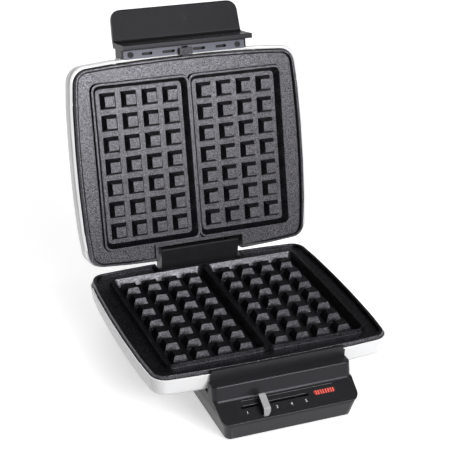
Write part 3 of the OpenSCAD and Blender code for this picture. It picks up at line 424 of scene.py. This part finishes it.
def printedDigit(number):
    name = "scaleDigit" + str(number)
    words = bpy.data.curves.new(name, "FONT")
    words.body = str(number)
    words.size = scalePrint["digitSize"] * millimetre
    words.extrude = scalePrint["thick"] * millimetre / 2
    words.align_x = "CENTER"
    words.align_y = "CENTER"
    text = bpy.data.objects.new(name + "Text", words)
    bpy.context.scene.collection.objects.link(text)
    bpy.context.view_layer.update()
    mesh = bpy.data.meshes.new_from_object(text)
    bpy.data.objects.remove(text)
    x = scalePrint["firstMark"] + scalePrint["step"] * (number - 1)
    place = Vector((x, -scalePrint["digitDown"], scalePrint["lift"])) * millimetre
    mesh.transform(panelMatrix() @ Matrix.Translation(place))
    addPrint(name, mesh, "print")


for number in range(1, scalePrint["digits"] + 1):
    printedDigit(number)
for lineName, corners in scalePrint["lines"].items():
    printedLine(lineName, *corners)
print("scale printed")


# Plain pale floor and sky. floorSize is in metres, glow is what the floor adds where it is seen directly
stageSettings = {"floorSize": 30.0, "floorWhite": 0.68, "floorRoughness": 0.9, "glow": 0.56, "skyLevel": 0.1}


def seenDirectly(tree):
    # 1 for the camera, for reflections and through glass, 0 for soft light
    rays = tree.nodes.new("ShaderNodeLightPath")
    total = rays.outputs["Is Camera Ray"]
    for other in ("Is Glossy Ray", "Is Transmission Ray"):
        add = tree.nodes.new("ShaderNodeMath")
        add.operation = "MAXIMUM"
        tree.links.new(total, add.inputs[0])
        tree.links.new(rays.outputs[other], add.inputs[1])
        total = add.outputs["Value"]
    return total


def makeFloor():
    s = stageSettings
    shape = bmesh.new()
    bmesh.ops.create_grid(shape, x_segments=1, y_segments=1, size=s["floorSize"])
    mesh = bpy.data.meshes.new("floor")
    shape.to_mesh(mesh)
    shape.free()
    floor = bpy.data.objects.new("floor", mesh)
    bpy.context.scene.collection.objects.link(floor)
    paper = (s["floorWhite"],) * 3
    material, tree, shader = startMaterial("floorPaper", paper, s["floorRoughness"], specular=0.0)[:3]
    glow = tree.nodes.new("ShaderNodeMath")
    glow.operation = "MULTIPLY"
    glow.inputs[1].default_value = s["glow"]
    tree.links.new(seenDirectly(tree), glow.inputs[0])
    shader.inputs["Emission Color"].default_value = (1, 1, 1, 1)
    tree.links.new(glow.outputs["Value"], shader.inputs["Emission Strength"])
    mesh.materials.append(material)


def makeWorld():
    world = bpy.data.worlds.new("studio")
    bpy.context.scene.world = world
    world.use_nodes = True
    background = world.node_tree.nodes["Background"]
    background.inputs["Color"].default_value = (1, 1, 1, 1)
    background.inputs["Strength"].default_value = stageSettings["skyLevel"]


# Lamps in metres and watts, all turned to the middle of the object.
# mirrored: whether the lamp shows as a highlight in glossy surfaces
softboxes = {
    "keyFront": {"at": (0.38, -1.54, 0.83), "size": (0.72, 0.5), "power": 17, "mirrored": True},
    "highSpot": {"at": (0.75, -1.2, 1.65), "size": (0.3, 0.3), "power": 10, "mirrored": True},
    "frontFill": {"at": (0.4, -2.0, 1.5), "size": (1.6, 1.2), "power": 14.5, "mirrored": False},
    "backFill": {"at": (1.0, 2.0, 1.3), "size": (1.6, 1.2), "power": 12, "mirrored": False},
    "ceiling": {"at": (-0.2, 0.0, 2.6), "size": (3.5, 3.5), "power": 46, "mirrored": False},
}
lampTarget = (0, 0, 0.12)


def addSoftbox(name, at, size, power, mirrored):
    lamp = bpy.data.lights.new(name, "AREA")
    lamp.shape = "RECTANGLE"
    lamp.size = size[0]
    lamp.size_y = size[1]
    lamp.energy = power
    holder = bpy.data.objects.new(name, lamp)
    bpy.context.scene.collection.objects.link(holder)
    holder.location = at
    holder.visible_glossy = mirrored
    aim = Vector(lampTarget) - Vector(at)
    holder.rotation_euler = aim.to_track_quat("-Z", "Y").to_euler()


# Where the camera stands, in millimetres, and the directions of its picture's axes.
# nearest and farthest say, in metres, how close and how far it sees
cameraFit = {
    "at": (-499.56, -1138.31, 772.69),
    "right": (0.92346, -0.38180, 0.03812),
    "down": (-0.14283, -0.43428, -0.88938),
    "ahead": (0.35613, 0.81586, -0.45557),
    "focalPixels": 1371.0, "framePixels": 452.0, "sensor": 36.0,
    "nearest": 0.05, "farthest": 200,
}


def addCamera():
    s = cameraFit
    lens = bpy.data.cameras.new("view")
    lens.sensor_width = s["sensor"]
    lens.lens = s["focalPixels"] / s["framePixels"] * s["sensor"]
    lens.clip_start = s["nearest"]
    lens.clip_end = s["farthest"]
    camera = bpy.data.objects.new("view", lens)
    bpy.context.scene.collection.objects.link(camera)
    right, up, back = Vector(s["right"]), -Vector(s["down"]), -Vector(s["ahead"])
    turned = Matrix((right, up, back)).transposed().to_4x4()
    camera.matrix_world = Matrix.Translation(Vector(s["at"]) * millimetre) @ turned
    bpy.context.scene.camera = camera


makeFloor()
makeWorld()
for boxName, box in softboxes.items():
    addSoftbox(boxName, **box)
addCamera()
bpy.context.scene.view_settings.view_transform = "Standard"
print("stage, lights and camera ready")
